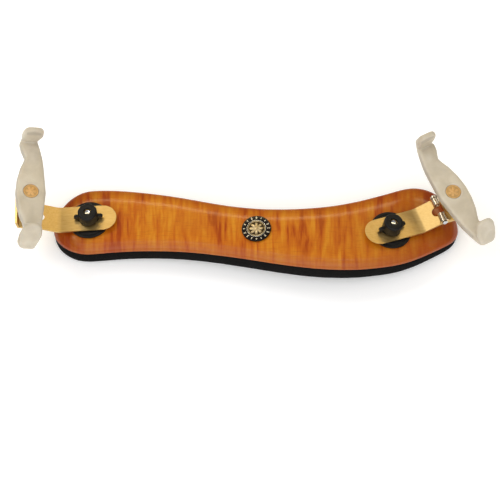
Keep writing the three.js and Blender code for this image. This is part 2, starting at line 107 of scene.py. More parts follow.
def local_box(node, place):
    """The lowest and the highest corner of a CAD node in a local frame."""
    inverse = np.array(place.inverted())
    points = points_of(node) @ inverse[:3, :3].T + inverse[:3, 3]
    return Vector(points.min(0)), Vector(points.max(0))


def arm_frame(side):
    """Stands on the stud's axis, with X along the arm's slide."""
    swivel = joints[side + "_swivel"]
    return axes_frame(swivel["pos_m"], joints[side + "_reach"]["axis"], swivel["axis"])


def hinge_frame(side):
    """Stands on the leaf's hinge, with Y along its pins and Z along the fork's screw."""
    fold = joints[side + "_fold"]
    up = Vector(joints[side + "_fork_lift"]["axis"])
    return axes_frame(fold["pos_m"], (-Vector(fold["axis"])).cross(up), up)


def fork_frame(side):
    """Stands on the underside of the fork's bar, with Y along the bar and X outwards."""
    turn = joints[side + "_fork_turn"]
    up = Vector(turn["axis"])
    centre = Vector(turn["pos_m"])
    reach = points_of(side + "_fork_grip") - np.array(centre)
    reach -= np.outer(reach @ np.array(up), np.array(up))
    far = Vector(reach[np.argmax((reach**2).sum(1))])
    across = hinge_frame(side).col[1].to_3d()
    if far.dot(across) < 0:
        far = -far
    along = Vector(reach[(reach @ np.array(across)) > 0.9 * far.length].mean(0))
    return axes_frame(centre, along.cross(up), up)


# ------------------------------------------------------------------ mesh helpers

def new_piece(name, mesh, body, material, stands_for=()):
    """A visible piece that rides on a body, and stands for CAD nodes if any are given."""
    piece = bpy.data.objects.new(name, mesh)
    bpy.context.scene.collection.objects.link(piece)
    mesh.materials.clear()
    mesh.materials.append(material)
    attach(piece, body)
    if stands_for:
        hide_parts(*stands_for)
    return piece


def to_mesh(bm, name, place=None, smooth=40):
    """A mesh from a bmesh, moved to its place, smooth but for edges sharper than an angle."""
    if place is not None:
        bmesh.ops.transform(bm, matrix=place, verts=bm.verts)
    bmesh.ops.recalc_face_normals(bm, faces=bm.faces)
    mesh = bpy.data.meshes.new(name)
    bm.to_mesh(mesh)
    bm.free()
    mesh.shade_smooth()
    mesh.set_sharp_from_angle(angle=math.radians(smooth))
    return mesh


def with_modifiers(mesh, *settings):
    """The mesh after modifiers, each given as (type, {property: value})."""
    holder = bpy.data.objects.new("holder", mesh)
    bpy.context.scene.collection.objects.link(holder)
    for kind, values in settings:
        modifier = holder.modifiers.new(kind.lower(), kind)
        for key, value in values.items():
            setattr(modifier, key, value)
    evaluated = holder.evaluated_get(bpy.context.evaluated_depsgraph_get())
    made = bpy.data.meshes.new_from_object(evaluated)
    bpy.data.objects.remove(holder)
    return made


def cad_copy(node, place=None):
    """A welded bmesh of a CAD node, in a local frame if one is given."""
    bm = bmesh.new()
    bm.from_mesh(frame["nodes"][node].data)
    bmesh.ops.remove_doubles(bm, verts=bm.verts, dist=0.002 * MM)
    if place is not None:
        bmesh.ops.transform(bm, matrix=place.inverted(), verts=bm.verts)
    return bm


def rounded(profile, radius):
    """A profile of (radius, height) points, its corners between the two end points rounded."""
    steps = 4
    points = [Vector(point) for point in profile]
    out = [points[0]]
    for before, corner, after in zip(points, points[1:], points[2:]):
        to_before, to_after = before - corner, after - corner
        angle = to_before.angle(to_after)
        room = min(to_before.length, to_after.length) * 0.45
        setback = min(radius / math.tan(angle / 2), room)
        start = corner + to_before.normalized() * setback
        end = corner + to_after.normalized() * setback
        for step in range(steps + 1):
            t = step / steps
            out.append(start * (1 - t) ** 2 + corner * 2 * t * (1 - t) + end * t**2)
    out.append(points[-1])
    return out


def lathe(profile, steps):
    """A bmesh turned about Z from a profile that starts and ends on the axis or on itself."""
    bm = bmesh.new()
    rings = []
    for radius, height in profile:
        if radius < 1e-7:
            rings.append([bm.verts.new((0, 0, height))])
            continue
        turns = [2 * math.pi * step / steps for step in range(steps)]
        rings.append([
            bm.verts.new((radius * math.cos(turn), radius * math.sin(turn), height))
            for turn in turns
        ])
    for lower, upper in zip(rings, rings[1:]):
        for i in range(steps):
            j = (i + 1) % steps
            corners = [lower[i % len(lower)], lower[j % len(lower)],
                       upper[j % len(upper)], upper[i % len(upper)]]
            unique = list(dict.fromkeys(corners))
            if len(unique) > 2:
                bm.faces.new(unique)
    bmesh.ops.remove_doubles(bm, verts=bm.verts, dist=1e-7)
    return bm


def loft(rings):
    """A closed bmesh over rings of points with equal counts."""
    bm = bmesh.new()
    loops = [[bm.verts.new(point) for point in ring] for ring in rings]
    count = len(loops[0])
    for lower, upper in zip(loops, loops[1:]):
        for i in range(count):
            j = (i + 1) % count
            bm.faces.new((lower[i], lower[j], upper[j], upper[i]))
    bm.faces.new(list(reversed(loops[0])))
    bm.faces.new(loops[-1])
    return bm


def join_into(bm, other):
    """Adds another bmesh's faces to bm, and frees it."""
    spare = bpy.data.meshes.new("spare")
    other.to_mesh(spare)
    other.free()
    bm.from_mesh(spare)
    bpy.data.meshes.remove(spare)


# ------------------------------------------------------------------ materials

class Nodes:
    """A short way to write a material's nodes."""

    def __init__(self, name):
        self.material = bpy.data.materials.new(name)
        self.material.use_nodes = True
        self.tree = self.material.node_tree
        self.shader = self.tree.nodes["Principled BSDF"]

    def node(self, kind, settings=(), **inputs):
        made = self.tree.nodes.new(kind)
        for key, value in dict(settings).items():
            setattr(made, key, value)
        for key, value in inputs.items():
            self.feed(made.inputs[key.replace("_", " ")], value)
        return made

    def feed(self, socket, value):
        if isinstance(value, bpy.types.NodeSocket):
            self.tree.links.new(value, socket)
        else:
            socket.default_value = value

    def set(self, **inputs):
        for key, value in inputs.items():
            self.feed(self.shader.inputs[key.replace("_", " ")], value)

    def coordinates(self, scale):
        """Object coordinates in millimetres, scaled."""
        source = self.node("ShaderNodeTexCoord")
        mapping = self.node("ShaderNodeMapping", Vector=source.outputs["Object"])
        mapping.inputs["Scale"].default_value = [value / MM for value in scale]
        return mapping.outputs["Vector"]

    def noise(self, scale, detail=3, roughness=0.5, distortion=0):
        """Noise whose scale is in cells per millimetre along each axis."""
        made = self.node("ShaderNodeTexNoise", Vector=self.coordinates(scale), Scale=1.0,
                         Detail=detail, Roughness=roughness, Distortion=distortion)
        return made.outputs["Fac"]

    def ramp(self, value, *stops):
        """A colour ramp through (position, colour) stops."""
        made = self.node("ShaderNodeValToRGB", Fac=value)
        elements = made.color_ramp.elements
        while len(elements) < len(stops):
            elements.new(0.5)
        for element, (position, colour) in zip(elements, stops):
            element.position = position
            element.color = (*colour, 1)
        return made.outputs["Color"]

    def mix(self, factor, a, b):
        """Colour a turning into colour b as the factor goes from 0 to 1."""
        made = self.node("ShaderNodeMix", {"data_type": "RGBA"})
        self.feed(made.inputs[0], factor)
        self.feed(made.inputs[6], a if isinstance(a, bpy.types.NodeSocket) else (*a, 1))
        self.feed(made.inputs[7], b if isinstance(b, bpy.types.NodeSocket) else (*b, 1))
        return made.outputs[2]

    def math(self, operation, a, b):
        made = self.node("ShaderNodeMath", {"operation": operation})
        self.feed(made.inputs[0], a)
        self.feed(made.inputs[1], b)
        return made.outputs[0]

    def between(self, value, low, high, to_low=0.0, to_high=1.0):
        """value mapped from one range to another, and kept inside it."""
        made = self.node("ShaderNodeMapRange", Value=value)
        made.inputs["From Min"].default_value = low
        made.inputs["From Max"].default_value = high
        made.inputs["To Min"].default_value = to_low
        made.inputs["To Max"].default_value = to_high
        return made.outputs["Result"]

    def attribute(self, name):
        """A number that a mesh stores under a name, or 0 on a mesh without it."""
        return self.node("ShaderNodeAttribute", {"attribute_name": name}).outputs["Fac"]

    def bump(self, height, distance, strength):
        """A normal bent by a height, whose full range stands for a distance in millimetres."""
        made = self.node("ShaderNodeBump", Height=height, Strength=strength)
        made.inputs["Distance"].default_value = distance * MM
        return made.outputs["Normal"]


def srgb(code):
    """A linear colour from a web colour such as c87820."""
    parts = [int(code[i:i + 2], 16) / 255 for i in (0, 2, 4)]
    return tuple(v / 12.92 if v <= 0.04045 else ((v + 0.055) / 1.055) ** 2.4 for v in parts)


def shaded(colour, share):
    return tuple(channel * share for channel in colour)


def lacquered_maple():
    """Flamed maple across the board, darker towards its edge, with painted shade towards its ends
    where the board slopes away from the light, under gloss lacquer. The mesh stores edge and end
    nearness."""
    m = Nodes("lacquered_maple")
    flame = m.noise((0.2, 0.03, 0.03), detail=2.5, roughness=0.55, distortion=0.35)
    fine_flame = m.noise((0.5, 0.07, 0.07), detail=2, roughness=0.5, distortion=0.4)
    stripes = m.math("ADD", m.math("MULTIPLY", flame, 0.68), m.math("MULTIPLY", fine_flame, 0.32))
    wood = m.ramp(stripes, (0.38, srgb("9c3f07")), (0.45, srgb("b85e10")),
                  (0.54, srgb("c47215")), (0.66, srgb("d08920")))
    patches = m.noise((0.012, 0.03, 0.03), detail=2)
    wood = m.mix(m.between(patches, 0.42, 0.7, 0, 0.35), wood, srgb("c27b20"))
    grain = m.noise((0.05, 1.7, 1.7), detail=4, roughness=0.6)
    wood = m.mix(m.between(grain, 0.5, 0.75, 0, 0.35), wood, srgb("8e4212"))
    edge = m.attribute("edge")
    wood = m.mix(m.between(edge, 0.0, 1.0, 0.6, 0.0), wood, srgb("94420f"))
    # painted shade towards the ends, deepest at the wide end, which slopes away from the light
    end_shade = m.attribute("end_shade")
    wood = m.mix(m.between(end_shade, 0.0, 1.0, 0.0, 0.8), wood, srgb("8c3208"))
    m.set(Base_Color=wood, Roughness=m.between(grain, 0.3, 0.8, 0.4, 0.55),
          Normal=m.bump(stripes, 0.05, 0.25), Specular_IOR_Level=0.0)
    waves = m.noise((0.05, 0.05, 0.05), detail=1)
    m.set(Coat_Weight=0.55, Coat_Roughness=0.17, Coat_IOR=1.5,
          Coat_Normal=m.bump(waves, 0.12, 0.2))
    return m.material


def black_foam():
    """Matt foam with open pores, with painted shade in the pits."""
    m = Nodes("black_foam")
    pores = m.node("ShaderNodeTexVoronoi", Vector=m.coordinates((1.5, 1.5, 1.5)), Scale=1.0)
    cells = pores.outputs["Distance"]
    tone = m.noise((0.12, 0.12, 0.12), detail=4)
    colour = m.ramp(tone, (0.3, srgb("0b0a09")), (0.7, srgb("151312")))
    # painted shade: the pits of the pores turn near black
    colour = m.mix(m.between(cells, 0.1, 0.5, 0.0, 0.7), srgb("040404"), colour)
    m.set(Base_Color=colour, Roughness=m.between(cells, 0, 0.6, 0.98, 0.8),
          Normal=m.bump(cells, 0.18, 0.8), Specular_IOR_Level=0.08)
    return m.material


def black_plastic(name, light, dark, rough, shine):
    """Moulded plastic or enamel with a fine grain and slight smears."""
    m = Nodes(name)
    grain = m.noise((3.5, 3.5, 3.5), detail=3)
    smears = m.noise((0.25, 0.25, 0.25), detail=3, distortion=0.6)
    colour = m.ramp(smears, (0.3, dark), (0.75, light))
    m.set(Base_Color=colour, Specular_IOR_Level=shine,
          Roughness=m.between(smears, 0.3, 0.7, rough, rough * 1.45),
          Normal=m.bump(grain, 0.02, 0.5))
    return m.material


def metal(name, light, dark, rough, streak=(0.05, 2.2, 2.2)):
    """A brushed metal with a few stains, whose streaks run along X unless they are given
    otherwise. Where a mesh stores polish it is smoother and has a painted near-white highlight,
    and it is darker where it stores recess."""
    m = Nodes(name)
    brush = m.noise(streak, detail=4, roughness=0.65)
    stains = m.noise((0.09, 0.09, 0.09), detail=4, distortion=0.5)
    colour = m.mix(m.between(brush, 0.3, 0.7), dark, light)
    colour = m.mix(m.between(stains, 0.5, 0.85, 0, 0.15), colour, shaded(dark, 0.45))
    colour = m.mix(m.attribute("recess"), colour, shaded(dark, 0.12))
    sheen = m.between(brush, 0.25, 0.75, rough * 0.85, rough * 1.2)
    polish_and_glint = m.attribute("polish_and_glint")
    # painted highlight: the colour turns near white where polish is stored
    colour = m.mix(m.math("MULTIPLY", polish_and_glint, 0.6), colour, srgb("fff2dc"))
    sheen = m.math("MULTIPLY", sheen, m.between(polish_and_glint, 0, 1, 1, 0.35))
    m.set(Base_Color=colour, Metallic=1.0, Roughness=sheen,
          Normal=m.bump(brush, 0.0015, 0.12))
    return m.material


def cream_rubber():
    """Slightly clear, specked rubber, with painted shade on the steep sides where a mesh stores
    edge.
    """
    m = Nodes("cream_rubber")
    mottle = m.noise((0.11, 0.11, 0.11), detail=4, distortion=0.4)
    speck = m.noise((1.9, 1.9, 1.9), detail=3)
    colour = m.ramp(mottle, (0.32, srgb("bbb09c")), (0.55, srgb("c6bba7")), (0.75, srgb("cfc6b4")))
    colour = m.mix(m.between(speck, 0.6, 0.8, 0, 0.25), colour, srgb("a79b86"))
    # painted shade: greyer where the mesh stores steep sides
    edge = m.attribute("edge")
    colour = m.mix(m.between(edge, 0.0, 1.0, 0.0, 0.5), colour, srgb("8d857a"))
    m.set(Base_Color=colour, Roughness=m.between(mottle, 0.3, 0.7, 0.38, 0.52),
          Normal=m.bump(speck, 0.02, 0.5), Subsurface_Weight=0.25,
          Subsurface_Radius=(1.0, 0.8, 0.5), Subsurface_Scale=1.5 * MM)
    return m.material


MAPLE = lacquered_maple()
FOAM = black_foam()
PLASTIC = black_plastic("black_plastic", srgb("1b1917"), srgb("0f0e0d"), 0.3, 0.17)
ENAMEL = black_plastic("badge_enamel", srgb("140b06"), srgb("090503"), 0.18, 0.2)
GOLD = metal("gold_plate", srgb("d6b678"), srgb("c49e5c"), 0.35)
CAP_GOLD = metal("cap_gold", srgb("e6c08a"), srgb("d0a468"), 0.5, streak=(0.15, 0.15, 0.15))
BRASS = metal("turned_brass", srgb("d9b265"), srgb("b5893c"), 0.28)
STEEL = metal("bright_steel", srgb("dfe1e4"), srgb("b4b7bb"), 0.18)
SILVER = metal("badge_silver", srgb("e2ddd0"), srgb("b9b2a4"), 0.25)
ANTIQUE_GOLD = metal("badge_gold", srgb("e3cfa2"), srgb("b0946a"), 0.3, streak=(0.8, 0.8, 0.8))
RUBBER = cream_rubber()


# ------------------------------------------------------------------ bridge and pad

OUTLINE_STEPS = 144
EDGE_BAND = 6 * MM  # how far in from the outline the wood's colour darkens


def slices(node, xs):
    """For each x, a CAD node's lowest and highest y and z where it is cut at that x."""
    mesh = frame["nodes"][node].data
    points = points_of(node)
    edges = np.array([edge.vertices[:] for edge in mesh.edges])
    a, b = points[edges[:, 0]], points[edges[:, 1]]
    found = []
    for x in xs:
        crossing = (a[:, 0] - x) * (b[:, 0] - x) <= 0
        crossing &= np.abs(b[:, 0] - a[:, 0]) > 1e-9
        share = ((x - a[crossing, 0]) / (b[crossing, 0] - a[crossing, 0]))[:, None]
        cut = a[crossing] + share * (b[crossing] - a[crossing])
        found.append((cut[:, 1].min(), cut[:, 1].max(), cut[:, 2].min(), cut[:, 2].max()))
    return np.array(found).T


def smoothed(values, passes=6):
    """Values with their small corners eased, their two ends kept."""
    values = values.copy()
    for _ in range(passes):
        values[1:-1] = 0.25 * values[:-2] + 0.5 * values[1:-1] + 0.25 * values[2:]
    return values


class Outline:
    """The plan outline of a bridge node and the heights of its top and bottom along X."""

    def __init__(self, node):
        low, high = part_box(node)
        turn = np.linspace(0, math.pi, OUTLINE_STEPS + 1)
        self.x = (low.x + high.x) / 2 - (high.x - low.x) / 2 * np.cos(turn)
        inside = np.clip(self.x, low.x + 0.01 * MM, high.x - 0.01 * MM)
        near, far, bottom, top = slices(node, inside)
        middle = smoothed((near + far) / 2)
        half = (far - near) / 2
        half[0] = half[-1] = 0
        half = smoothed(half, 3)
        self.near, self.far = middle - half, middle + half
        self.bottom, self.top = smoothed(bottom), smoothed(top)

    def loop(self, inset):
        """The outline as a closed loop of plan points, set in by a distance."""
        near = np.column_stack((self.x, self.near))
        far = np.column_stack((self.x, self.far))[1:-1][::-1]
        line = np.vstack((near, far))
        along = np.roll(line, -1, 0) - np.roll(line, 1, 0)
        along /= np.linalg.norm(along, axis=1)[:, None]
        return line + inset * np.column_stack((-along[:, 1], along[:, 0]))


def shell(outline, levels, columns, name):
    """A closed board inside an outline. levels is a list of (inset, height function of x) from
    the middle of the top round the edge to the middle of the bottom."""
    bm = bmesh.new()
    count = 2 * OUTLINE_STEPS
    loops = []
    for inset, height in levels:
        plan = outline.loop(inset)
        heights = height(plan[:, 0])
        loops.append([bm.verts.new((x, y, z)) for (x, y), z in zip(plan, heights)])
    for upper, lower in zip(loops, loops[1:]):
        for i in range(count):
            j = (i + 1) % count
            bm.faces.new((upper[i], upper[j], lower[j], lower[i]))
    for loop, (_, height) in ((loops[0], levels[0]), (loops[-1], levels[-1])):
        rows = [[loop[0]] * (columns + 1)]
        for k in range(1, OUTLINE_STEPS):
            near, far = loop[k], loop[count - k]
            row = [near]
            for column in range(1, columns):
                point = near.co.lerp(far.co, column / columns)
                point.z = height(np.array([point.x]))[0]
                row.append(bm.verts.new(point))
            rows.append([*row, far])
        rows.append([loop[OUTLINE_STEPS]] * (columns + 1))
        for row, following in zip(rows, rows[1:]):
            for c in range(columns):
                corners = [row[c], row[c + 1], following[c + 1], following[c]]
                unique = list(dict.fromkeys(corners))
                if len(unique) > 2:
                    bm.faces.new(unique)
    return to_mesh(bm, name, smooth=60)


def wood_bridge():
    """The board, its edge rounded by a profile of (inset, depth below the top)."""
    outline = Outline("wood_bridge")
    thickness = float(np.median(outline.top - outline.bottom))
    edge = [(10.4, 0), (9, 0.03), (7.6, 0.12), (6.2, 0.28), (4.6, 0.52), (3.2, 0.84), (2, 1.25),
            (1.1, 1.72), (0.45, 2.25), (0.1, 2.8), (0, 3.3), (0, 4.3), (0.12, 4.85), (0.45, 5.25)]

    def top_less(depth):
        return lambda x: np.interp(x, outline.x, outline.top) - depth

    levels = [(inset * MM, top_less(depth * MM)) for inset, depth in edge]
    levels.append((1.1 * MM, top_less(thickness)))
    mesh = shell(outline, levels, 12, "wood_bridge_lacquered")
    shade_by_edge(mesh, outline)
    new_piece("wood_bridge_lacquered", mesh, "rest", MAPLE, ["wood_bridge"])


def shade_by_edge(mesh, outline):
    """Stores how far in from the outline each point is, and how near to an end: the painted shade
    there is deeper and starts earlier towards the wide end, which slopes away from the light."""
    loop = outline.loop(0)
    middle, half = outline.x.mean(), np.ptp(outline.x) / 2
    edge = mesh.attributes.new("edge", "FLOAT", "POINT")
    end_shade = mesh.attributes.new("end_shade", "FLOAT", "POINT")
    for vertex in mesh.vertices:
        gap = math.sqrt(((loop - np.array(vertex.co[:2])) ** 2).sum(1).min())
        edge.data[vertex.index].value = min(gap / EDGE_BAND, 1)
        share = (vertex.co.x - middle) / half
        # nearness to an end, for painted shade, stronger at the wide end
        end_shade.data[vertex.index].value = share**2.4 if share > 0 else share**6


def foam_pad():
    """The pad, its side a profile of (inset, share of the thickness), and a little wavy."""
    outline = Outline("foam_pad")
    waviness, wave_length = 0.12 * MM, 6 * MM
    floor_zone = 12 * MM  # below this height the surface isn't lowered

    def level(share):
        def height(x):
            top = np.interp(x, outline.x, outline.top)
            bottom = np.interp(x, outline.x, outline.bottom)
            return top + (bottom - top) * share
        return height

    side = [(3, 0), (1.6, 0.0), (0.9, 0.03), (0.6, 0.08), (0.4, 0.2), (0.25, 0.4), (0.25, 0.6),
            (0.35, 0.76), (0.8, 0.9), (1.6, 0.975), (2.6, 1.0), (4, 1.0)]
    mesh = shell(outline, [(inset * MM, level(share)) for inset, share in side], 12,
                 "foam_pad_cut")
    noise.seed_set(1)  # without a seed the noise starts from the clock
    for vertex in mesh.vertices:
        drift = noise.noise_vector(vertex.co / wave_length) * waviness
        sink = min(drift.z, 0) if vertex.co.z > floor_zone else 0
        vertex.co += Vector((drift.x, drift.y, sink))
    piece = new_piece("foam_pad_cut", mesh, "rest", FOAM, ["foam_pad"])


# ------------------------------------------------------------------ badge

def badge():
    """A generic rosette in a rim with radial marks."""
    rim_points = points_of("badge_rim")
    place = axes_frame(rim_points.mean(0), (1, 0, 0), surface_normal(rim_points))
    low, high = local_box("badge_rim", place)
    outer, base, top = high.x, low.z, high.z
    ring_width = 2.9 * MM
    inner = outer - ring_width
    rim = lathe(rounded([(inner, base), (outer, base), (outer, top - 0.1 * MM), (inner, top),
                         (inner, base)], 0.3 * MM), 96)
    new_piece("badge_rim_gloss", to_mesh(rim, "badge_rim_gloss", place), "rest", ENAMEL,
              ["badge_rim"])
    marks = bmesh.new()
    count, mark_width, mark_height = 16, 0.72 * MM, 0.2 * MM
    for k in range(count):
        length = (1.35 + 0.35 * math.cos(5 * k)) * MM
        mark = bmesh.new()
        bmesh.ops.create_cube(mark, size=1)
        bmesh.ops.scale(mark, vec=(length, mark_width, mark_height), verts=mark.verts)
        bmesh.ops.bevel(mark, geom=mark.edges[:], offset=0.06 * MM, segments=2, affect="EDGES")
        bmesh.ops.translate(mark, vec=((outer + inner) / 2 + 0.1 * MM, 0, top), verts=mark.verts)
        bmesh.ops.rotate(mark, matrix=Matrix.Rotation(2 * math.pi * k / count, 3, "Z"),
                         verts=mark.verts)
        join_into(marks, mark)
    new_piece("badge_marks", to_mesh(marks, "badge_marks", place), "rest", SILVER)
    wire_inner, wire_outer, wire_top = inner - 0.3 * MM, inner + 0.05 * MM, top + 0.1 * MM
    ring = lathe(rounded([(wire_inner, base), (wire_outer, base), (wire_outer, wire_top),
                          (wire_inner, wire_top), (wire_inner, base)], 0.1 * MM), 96)
    new_piece("badge_inner_ring", to_mesh(ring, "badge_inner_ring", place), "rest", SILVER)
    rosette_piece("badge_rosette", "badge_centre", place, 8, 0.5 * MM, 1.0, 0, ANTIQUE_GOLD,
                  "rest")


def surface_normal(points):
    """The direction in which a flat set of points is thinnest, upwards."""
    centred = points - points.mean(0)
    normal = Vector(np.linalg.svd(centred, full_matrices=False)[2][-1])
    return normal if normal.z > 0 else -normal


def rosette_piece(name, node, place, petals, relief, stain, spread, material, body):
    """A disc with a raised flower of petals and a button in its middle, wider than its CAD node
    by the spread. Its lower parts store a recess as strong as the stain."""
    low, high = local_box(node, place)
    radius = (high.x - low.x) / 2 + spread
    face_drop = 0.35 * MM  # leaves room for the flower below the CAD disc's top
    top, base = high.z - face_drop, low.z
    button_share, petal_share = 0.2, 0.62

    def raised(share, turn):
        """The relief's height at a share of the radius: petals, a button and a rim."""
        petal = abs(math.cos(petals * turn / 2)) ** 0.7
        edge = button_share + petal_share * petal
        bloom = 1 - (share / edge) ** 4 if share < edge else 0
        vein = 0.25 * math.exp(-((petal - 1) / 0.05) ** 2) * bloom
        button = 1.25 * math.sqrt(1 - (share / button_share) ** 4) if share < button_share else 0
        rope = 0.45 if 0.86 < share < 0.95 else 0
        return relief * max(bloom * 0.8 - vein, button, rope)

    bm = bmesh.new()
    turns, rings_count = 96, 26
    rings = []
    for share in (ring / rings_count for ring in range(1, rings_count + 1)):
        angles = [2 * math.pi * i / turns for i in range(turns)]
        rings.append([
            bm.verts.new((radius * share * math.cos(angle), radius * share * math.sin(angle),
                          top + raised(share, angle)))
            for angle in angles
        ])
    rings.append([bm.verts.new((v.co.x, v.co.y, base)) for v in rings[-1]])
    centre = bm.verts.new((0, 0, top + raised(0, 0)))
    for i in range(turns):
        j = (i + 1) % turns
        bm.faces.new((centre, rings[0][i], rings[0][j]))
        for inner, outer in zip(rings, rings[1:]):
            bm.faces.new((inner[i], outer[i], outer[j], inner[j]))
    bm.faces.new(rings[-1])
    heights = [(vertex.co.z - top) / relief for vertex in bm.verts]
    mesh = to_mesh(bm, name, place)
    recess = mesh.attributes.new("recess", "FLOAT", "POINT")
    for index, height in enumerate(heights):
        recess.data[index].value = stain * min(max(1 - height / 0.45, 0), 1)
    new_piece(name, mesh, body, material, [node])


# ------------------------------------------------------------------ clamp at each end

SHARP_EDGES = {"limit_method": "ANGLE", "angle_limit": math.radians(38)}


def turned_piece(name, node, place, profile, body, material, steps, radius):
    """A piece turned from a profile whose corners have a radius in millimetres."""
    bm = lathe(rounded(profile, radius * MM), steps)
    new_piece(name, to_mesh(bm, name, place), body, material, [node])


def tube(node, place, bore):
    """The profile of a plain tube with a bore, as long and as wide as a CAD node."""
    low, high = local_box(node, place)
    return [(bore, low.z), (high.x, low.z), (high.x, high.z), (bore, high.z), (bore, low.z)]


def moulded(node, place, voxel, passes):
    """A CAD node as a mesh in a local frame, its edges softened as if it were moulded."""
    return with_modifiers(
        to_mesh(cad_copy(node, place), node),
        ("REMESH", {"mode": "VOXEL", "voxel_size": voxel}),
        ("SMOOTH", {"factor": 0.5, "iterations": passes}),
    )


def base_disc(side, place):
    """The disc with a shallow groove near its rim and the key that the arm's slot runs on."""
    low, high = local_box(side + "_base_disc", place)
    outer, key, bore = high.x, 2.65 * MM, 2.1 * MM
    rim_top = low.z + 1.1 * MM
    top, groove = rim_top + 0.02 * MM, rim_top - 0.18 * MM
    turned_piece(side + "_base_disc_moulded", side + "_base_disc", place, [
        (bore, low.z), (outer, low.z), (outer, rim_top), (outer * 0.86, top),
        (outer * 0.84, groove), (outer * 0.81, groove), (outer * 0.79, top), (key, top),
        (key, high.z), (bore, high.z), (bore, low.z),
    ], side + "_base", PLASTIC, 96, 0.3)


def stud(side, place):
    low, high = local_box(side + "_stud", place)
    radius, pitch = 1.7 * MM, 0.7 * MM
    head_radius, head_top = high.x, low.z + 1.4 * MM
    neck_radius, neck_top = radius * 0.82, head_top + 2 * MM
    bm = lathe(rounded([(0, low.z), (head_radius, low.z), (head_radius, head_top),
                        (neck_radius, head_top), (neck_radius, neck_top), (0, neck_top)],
                       0.15 * MM), 40)
    join_into(bm, thread(radius, neck_top - 0.5 * MM, high.z, pitch))
    new_piece(side + "_stud_threaded", to_mesh(bm, side + "_stud_threaded", place), "rest",
              STEEL, [side + "_stud"])


def thread(radius, bottom, top, pitch):
    """A closed rod with a helical thread and a chamfered, slightly hollowed tip."""
    sides, per_turn = 28, 6
    core = radius - 0.55 * pitch
    count = int((top - bottom) / pitch * per_turn)
    rings = []
    for step in range(count + 1):
        z = bottom + (top - bottom) * step / count
        lead_in = min(1.0, min(z - bottom, top - z) / (0.8 * pitch))
        ring = []
        for side in range(sides):
            phase = (z / pitch - side / sides) % 1.0
            crest = 1 - abs(2 * phase - 1)
            r = core + (radius - core) * min(crest * 1.5, 1.0) * lead_in
            turn = 2 * math.pi * side / sides
            ring.append((r * math.cos(turn), r * math.sin(turn), z))
        rings.append(ring)
    tip = [[(x * 0.55, y * 0.55, z - 0.12 * MM) for x, y, z in rings[-1]]]
    return loft(rings + tip)


def washer(side, place):
    turned_piece(side + "_washer_pressed", side + "_washer", place,
                 tube(side + "_washer", place, 2.1 * MM), side + "_washer", PLASTIC,
                 48, 0.15)


def knob(side, place):
    """The thumb nut and the threaded insert in it."""
    node = side + "_knob"
    mesh = moulded(node, place, 0.16 * MM, 5)
    mesh.transform(place)
    mesh.shade_smooth()
    new_piece(side + "_knob_moulded", mesh, side + "_knob", PLASTIC, [node])
    turned_piece(side + "_knob_insert_turned", side + "_knob_insert", place,
                 tube(side + "_knob_insert", place, 2.0 * MM), side + "_knob", BRASS,
                 40, 0.12)


def sheet_metal(name, node, body, hinge):
    """A CAD sheet part with its edges rounded. It stores polish, smoother and with a painted
    highlight, where it is rolled round the hinge."""
    barrel_reach = 2.7 * MM
    bm = cad_copy(node)
    bmesh.ops.dissolve_limit(bm, angle_limit=math.radians(0.5), verts=bm.verts, edges=bm.edges)
    mesh = with_modifiers(
        to_mesh(bm, name, smooth=60),
        ("BEVEL", {"width": 0.28 * MM, "segments": 3, **SHARP_EDGES}),
        ("WEIGHTED_NORMAL", {"keep_sharp": True}),
    )
    polish_and_glint = mesh.attributes.new("polish_and_glint", "FLOAT", "FACE")
    inverse = hinge.inverted()
    for face in mesh.polygons:
        corners = [inverse @ mesh.vertices[index].co for index in face.vertices]
        reach = max(math.hypot(corner.x, corner.z) for corner in corners)
        polish_and_glint.data[face.index].value = float(reach < barrel_reach)
    new_piece(name, mesh, body, GOLD, [node])


def hinge_pins(side, place):
    """A pin in each hinge barrel, its domed head on the outside."""
    for end in "ab":
        node = f"{side}_hinge_pin_{end}"
        low, high = local_box(node, place)
        outward = 1 if high.y > -low.y else -1
        turn = axes_frame((0, 0, 0), (1, 0, 0), (0, outward, 0))
        inner = min(abs(low.y), abs(high.y))
        outer = max(abs(low.y), abs(high.y))
        head, shaft = high.x, 0.9 * MM
        head_back, head_front = outer - 0.6 * MM, outer - 0.25 * MM
        turned_piece(node + "_turned", node, place @ turn, [
            (0, inner), (shaft, inner), (shaft, head_back), (head, head_back),
            (head, head_front), (head * 0.7, outer), (0, outer),
        ], side + "_leaf", STEEL, 40, 0.2)


def leaf_bush(side, place):
    node = side + "_leaf_bush"
    low, high = local_box(node, place)
    bore, neck, flange = 2.05 * MM, 2.6 * MM, high.x
    flange_height = 1.1 * MM
    neck_bottom, neck_top = low.z + flange_height, high.z - flange_height
    turned_piece(node + "_turned", node, place, [
        (bore, low.z), (flange, low.z), (flange, neck_bottom), (neck, neck_bottom),
        (neck, neck_top), (flange, neck_top), (flange, high.z), (bore, high.z), (bore, low.z),
    ], side + "_leaf", BRASS, 48, 0.15)


# ------------------------------------------------------------------ fork

def fork_screw(side, place):
    node = side + "_fork_screw"
    low, high = local_box(node, place)
    bm = thread(high.x, low.z, high.z, 0.8 * MM)
    new_piece(node + "_threaded", to_mesh(bm, node, place), side + "_screw", STEEL,
              [node])


def fork_plate(side, place):
    node = side + "_fork_plate"
    mesh = with_modifiers(to_mesh(cad_copy(node), node, smooth=30),
                          ("BEVEL", {"width": 0.2 * MM, "segments": 2, **SHARP_EDGES}))
    mesh.shade_smooth()
    mesh.set_sharp_from_angle(angle=math.radians(50))
    new_piece(node + "_pressed", mesh, side + "_fork", STEEL, [node])


